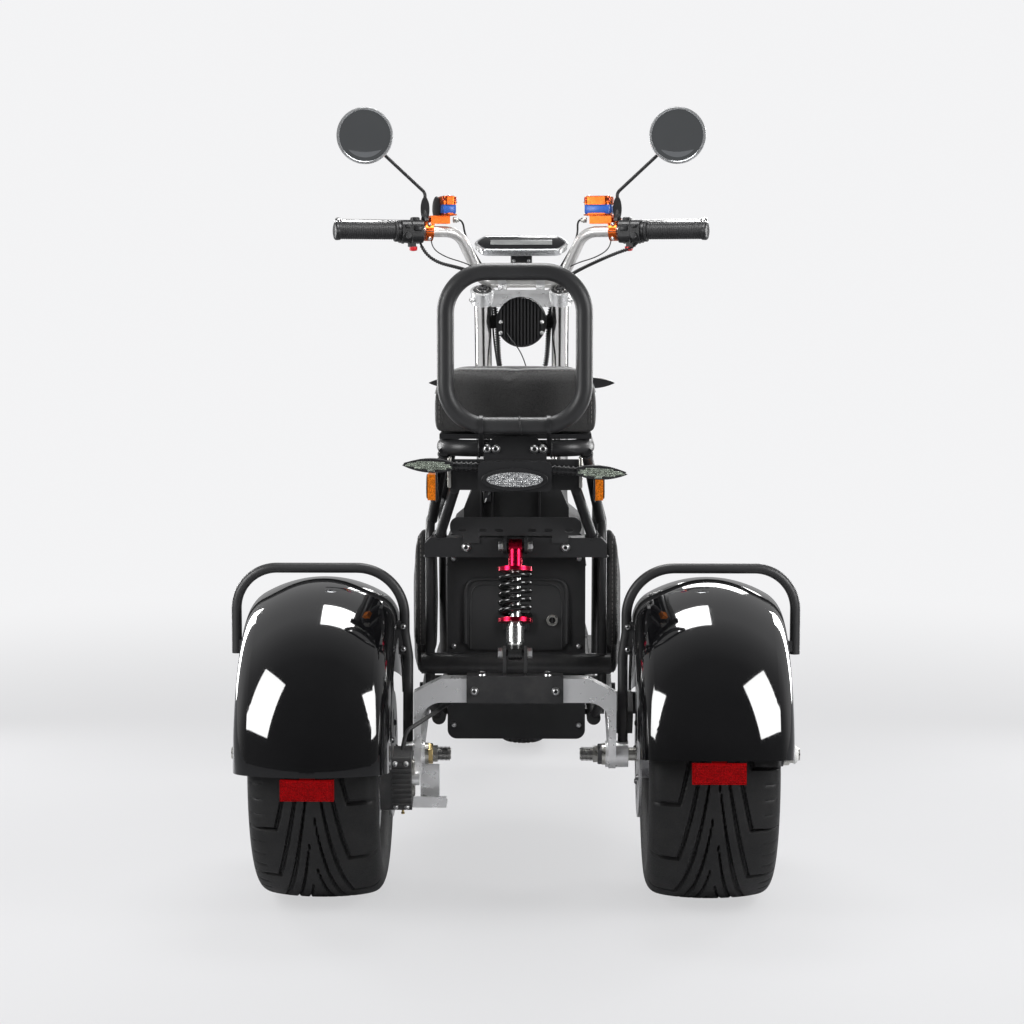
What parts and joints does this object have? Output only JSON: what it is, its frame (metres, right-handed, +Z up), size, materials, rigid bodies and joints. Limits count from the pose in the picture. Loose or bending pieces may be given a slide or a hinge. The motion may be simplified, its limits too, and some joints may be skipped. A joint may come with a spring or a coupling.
{
  "type": "three-wheeled electric scooter",
  "caption": "Three-wheeled electric scooter with wide rear tyres under gloss mudguards, saddle with grab bar, flat deck, telescopic fork and round mirrors.",
  "frame": {"origin": "centre of the footprint on the ground", "axes": "+Y forward, +X to the rider's right, +Z up"},
  "size_m": [0.953, 1.8455, 1.376],
  "materials": {
    "frame_black": "satin",
    "satin_black": "satin",
    "gloss_black": "gloss",
    "deck_rubber": "matte ribbed",
    "case_black": "fine texture",
    "cover_leather": "stitched",
    "seat_leather": "stitched",
    "lamp_plastic": "satin",
    "lamp_lens": "clear faceted",
    "amber_reflector": "prismatic",
    "red_reflector": "prismatic",
    "polished_alloy": "polished",
    "shock_red": "anodised",
    "zinc_steel": "zinc plated",
    "caliper_alloy": "satin",
    "fork_chrome": "polished",
    "bar_steel": "satin",
    "grip_rubber": "ribbed",
    "orange_alloy": "anodised",
    "lever_alloy": "polished",
    "mirror_glass": "mirror",
    "bezel_plastic": "silver bezel",
    "cable_black": "spiral wrapped",
    "tyre_black": "rubber",
    "wheel_alloy": "cast",
    "disc_steel": "ground"
  },
  "bodies": {
    "chassis": {"frame_rails": "frame_black", "frame_sides": "frame_black", "seat_loop": "frame_black", "floor_board": "deck_rubber", "battery_case": "case_black", "side_cover_right": "cover_leather", "side_cover_left": "cover_leather", "rear_bracket": "frame_black", "grab_bar": "satin_black", "tail_lamp": "lamp_plastic", "tail_lamp_lens": "lamp_lens", "rear_signals": "lamp_plastic", "side_reflectors": "amber_reflector", "plate_holder": "satin_black", "swing_arm": "polished_alloy", "swing_arm_bracket": "satin_black", "shock_absorber": "shock_red", "shock_rod": "polished_alloy", "shock_spring": "satin_black", "rear_axles": "zinc_steel", "rear_calipers": "caliper_alloy", "mudguard_right": "gloss_black", "mudguard_left": "gloss_black", "guard_hoop_right": "satin_black", "guard_hoop_left": "satin_black", "rear_reflectors": "red_reflector"},
    "seat": {"seat_pan": "lamp_plastic", "seat_cushion": "seat_leather"},
    "steering": {"fork_clamps": "polished_alloy", "fork_tubes": "fork_chrome", "fork_sliders": "polished_alloy", "front_axle": "zinc_steel", "front_caliper": "caliper_alloy", "front_mudguard": "gloss_black", "handlebar": "bar_steel", "grips": "grip_rubber", "switch_housings": "lamp_plastic", "brake_masters": "orange_alloy", "brake_levers": "lever_alloy", "mirrors": "lamp_plastic", "mirror_glasses": "mirror_glass", "display": "bezel_plastic", "headlight": "lamp_plastic", "headlight_lens": "lamp_lens", "front_signals": "lamp_plastic", "control_cables": "cable_black"},
    "front_wheel": {"front_tyre": "tyre_black", "front_rim": "wheel_alloy", "front_disc": "disc_steel"},
    "rear_wheel_left": {"rear_tyre_left": "tyre_black", "rear_rim_left": "wheel_alloy", "rear_disc_left": "disc_steel"},
    "rear_wheel_right": {"rear_tyre_right": "tyre_black", "rear_rim_right": "wheel_alloy", "rear_disc_right": "disc_steel"}
  },
  "joints": [
    {"name": "steering", "type": "hinge", "parent": "chassis", "child": "steering", "pos_m": [0, 0.65754, 0.2121], "axis": [0, -0.4226, 0.9063], "range_deg": [-38, 38]},
    {"name": "seat_lift", "type": "hinge", "parent": "chassis", "child": "seat", "pos_m": [0, -0.12121, 0.75], "axis": [-1, 0, 0], "range_deg": [0, 60]},
    {"name": "front_wheel_spin", "type": "hinge", "parent": "steering", "child": "front_wheel", "pos_m": [0, 0.69379, 0.229], "axis": [-1, 0, 0], "continuous": true},
    {"name": "rear_wheel_left_spin", "type": "hinge", "parent": "chassis", "child": "rear_wheel_left", "pos_m": [-0.32, -0.62621, 0.238], "axis": [-1, 0, 0], "continuous": true},
    {"name": "rear_wheel_right_spin", "type": "hinge", "parent": "chassis", "child": "rear_wheel_right", "pos_m": [0.32, -0.62621, 0.238], "axis": [-1, 0, 0], "continuous": true}
  ]
}
